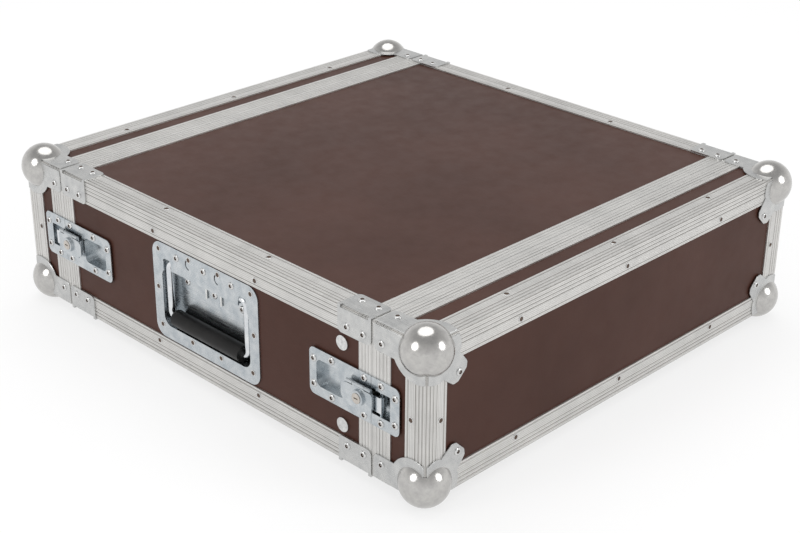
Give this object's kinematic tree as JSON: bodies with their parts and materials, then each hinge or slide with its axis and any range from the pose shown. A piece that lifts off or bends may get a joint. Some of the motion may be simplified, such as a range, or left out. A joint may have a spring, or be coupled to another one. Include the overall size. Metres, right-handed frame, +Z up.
{
  "type": "rack case",
  "caption": "Shallow plywood rack flight case with aluminium edging, ball corners, butterfly latches, sunken sprung handles and a lift-off lid at each end.",
  "frame": {"origin": "centre of the case on the floor, under the ball corners it stands on", "axes": "+X across the rack width, +Y from the front lid to the rear lid, +Z up"},
  "size_m": [0.5508, 0.601, 0.175],
  "materials": {
    "panel": "brown film faced plywood, satin",
    "edging": "satin extruded, fine lengthwise grooves",
    "plated_steel": "bright zinc plated pressing",
    "bright_steel": "bright plated",
    "ball_corner": "polished plated pressing",
    "fastener": "bright plated heads",
    "rail": "black powder coat",
    "lock": "nickel plated",
    "grip": "matt black moulded"
  },
  "bodies": {
    "case": {"top_panel": "panel", "bottom_panel": "panel", "left_panel": "panel", "right_panel": "panel", "body_edge_angles": "edging", "front_body_frame": "edging", "rear_body_frame": "edging", "corner_brackets": "plated_steel", "body_rivets": "fastener", "left_rack_rail": "rail", "right_rack_rail": "rail", "rail_bolts": "fastener", "rail_nuts": "fastener", "left_handle_dish": "plated_steel", "left_handle_spring": "bright_steel", "right_handle_dish": "plated_steel", "right_handle_spring": "bright_steel", "front_left_latch_dish": "plated_steel", "front_right_latch_dish": "plated_steel", "rear_left_latch_dish": "plated_steel", "rear_right_latch_dish": "plated_steel"},
    "front_lid": {"front_lid_panel": "panel", "front_lid_walls": "panel", "front_lid_frame": "edging", "front_lid_edge_angles": "edging", "front_lid_short_angles": "edging", "front_lid_ball_corners": "ball_corner", "front_lid_rivets": "fastener", "front_left_latch_keeper": "plated_steel", "front_right_latch_keeper": "plated_steel"},
    "rear_lid": {"rear_lid_panel": "panel", "rear_lid_walls": "panel", "rear_lid_frame": "edging", "rear_lid_edge_angles": "edging", "rear_lid_short_angles": "edging", "rear_lid_ball_corners": "ball_corner", "rear_lid_rivets": "fastener", "rear_left_latch_keeper": "plated_steel", "rear_right_latch_keeper": "plated_steel"},
    "left_handle": {"left_handle_bail": "bright_steel", "left_handle_grip": "grip"},
    "right_handle": {"right_handle_bail": "bright_steel", "right_handle_grip": "grip"},
    "front_left_turner": {"front_left_latch_turner": "plated_steel"},
    "front_left_hook": {"front_left_latch_hook": "bright_steel"},
    "front_left_flap": {"front_left_latch_flap": "plated_steel"},
    "front_left_plug": {"front_left_latch_plug": "lock"},
    "front_right_turner": {"front_right_latch_turner": "plated_steel"},
    "front_right_hook": {"front_right_latch_hook": "bright_steel"},
    "front_right_flap": {"front_right_latch_flap": "plated_steel"},
    "front_right_plug": {"front_right_latch_plug": "lock"},
    "rear_left_turner": {"rear_left_latch_turner": "plated_steel"},
    "rear_left_hook": {"rear_left_latch_hook": "bright_steel"},
    "rear_left_flap": {"rear_left_latch_flap": "plated_steel"},
    "rear_left_plug": {"rear_left_latch_plug": "lock"},
    "rear_right_turner": {"rear_right_latch_turner": "plated_steel"},
    "rear_right_hook": {"rear_right_latch_hook": "bright_steel"},
    "rear_right_flap": {"rear_right_latch_flap": "plated_steel"},
    "rear_right_plug": {"rear_right_latch_plug": "lock"}
  },
  "joints": [
    {"name": "front_lid_pull", "type": "slide", "parent": "case", "child": "front_lid", "axis": [0, -1, 0], "range_m": [0, 0.15]},
    {"name": "rear_lid_pull", "type": "slide", "parent": "case", "child": "rear_lid", "axis": [0, 1, 0], "range_m": [0, 0.15]},
    {"name": "left_handle_swing", "type": "hinge", "parent": "case", "child": "left_handle", "pos_m": [-0.2607, 0, 0.1185], "axis": [0, 1, 0], "range_deg": [0, 90], "stiffness_Nm_per_rad": 0.12, "springref_deg": -20.05},
    {"name": "right_handle_swing", "type": "hinge", "parent": "case", "child": "right_handle", "pos_m": [0.2607, 0, 0.1185], "axis": [0, -1, 0], "range_deg": [0, 90], "stiffness_Nm_per_rad": 0.12, "springref_deg": -20.05},
    {"name": "front_left_latch_turn", "type": "hinge", "parent": "case", "child": "front_left_turner", "pos_m": [-0.265, -0.2148, 0.0875], "axis": [-1, 0, 0], "range_deg": [0, 180]},
    {"name": "front_left_hook_slide", "type": "slide", "parent": "case", "child": "front_left_hook", "axis": [0, -1, 0], "range_m": [0, 0.008]},
    {"name": "front_left_flap_lift", "type": "hinge", "parent": "front_left_turner", "child": "front_left_flap", "pos_m": [-0.27, -0.2148, 0.099], "axis": [0, 1, 0], "range_deg": [0, 90]},
    {"name": "front_left_key_turn", "type": "hinge", "parent": "front_left_flap", "child": "front_left_plug", "pos_m": [-0.272, -0.2148, 0.0875], "axis": [-1, 0, 0], "range_deg": [0, 90]},
    {"name": "front_right_latch_turn", "type": "hinge", "parent": "case", "child": "front_right_turner", "pos_m": [0.265, -0.2148, 0.0875], "axis": [1, 0, 0], "range_deg": [0, 180]},
    {"name": "front_right_hook_slide", "type": "slide", "parent": "case", "child": "front_right_hook", "axis": [0, -1, 0], "range_m": [0, 0.008]},
    {"name": "front_right_flap_lift", "type": "hinge", "parent": "front_right_turner", "child": "front_right_flap", "pos_m": [0.27, -0.2148, 0.099], "axis": [0, -1, 0], "range_deg": [0, 90]},
    {"name": "front_right_key_turn", "type": "hinge", "parent": "front_right_flap", "child": "front_right_plug", "pos_m": [0.272, -0.2148, 0.0875], "axis": [1, 0, 0], "range_deg": [0, 90]},
    {"name": "rear_left_latch_turn", "type": "hinge", "parent": "case", "child": "rear_left_turner", "pos_m": [-0.265, 0.2148, 0.0875], "axis": [-1, 0, 0], "range_deg": [0, 180]},
    {"name": "rear_left_hook_slide", "type": "slide", "parent": "case", "child": "rear_left_hook", "axis": [0, 1, 0], "range_m": [0, 0.008]},
    {"name": "rear_left_flap_lift", "type": "hinge", "parent": "rear_left_turner", "child": "rear_left_flap", "pos_m": [-0.27, 0.2148, 0.099], "axis": [0, 1, 0], "range_deg": [0, 90]},
    {"name": "rear_left_key_turn", "type": "hinge", "parent": "rear_left_flap", "child": "rear_left_plug", "pos_m": [-0.272, 0.2148, 0.0875], "axis": [-1, 0, 0], "range_deg": [0, 90]},
    {"name": "rear_right_latch_turn", "type": "hinge", "parent": "case", "child": "rear_right_turner", "pos_m": [0.265, 0.2148, 0.0875], "axis": [1, 0, 0], "range_deg": [0, 180]},
    {"name": "rear_right_hook_slide", "type": "slide", "parent": "case", "child": "rear_right_hook", "axis": [0, 1, 0], "range_m": [0, 0.008]},
    {"name": "rear_right_flap_lift", "type": "hinge", "parent": "rear_right_turner", "child": "rear_right_flap", "pos_m": [0.27, 0.2148, 0.099], "axis": [0, -1, 0], "range_deg": [0, 90]},
    {"name": "rear_right_key_turn", "type": "hinge", "parent": "rear_right_flap", "child": "rear_right_plug", "pos_m": [0.272, 0.2148, 0.0875], "axis": [1, 0, 0], "range_deg": [0, 90]}
  ],
  "couplings": [
    {"joint": "front_left_hook_slide", "follows": "front_left_latch_turn", "m_per_rad": 0.0025465},
    {"joint": "front_right_hook_slide", "follows": "front_right_latch_turn", "m_per_rad": 0.0025465},
    {"joint": "rear_left_hook_slide", "follows": "rear_left_latch_turn", "m_per_rad": 0.0025465},
    {"joint": "rear_right_hook_slide", "follows": "rear_right_latch_turn", "m_per_rad": 0.0025465}
  ]
}
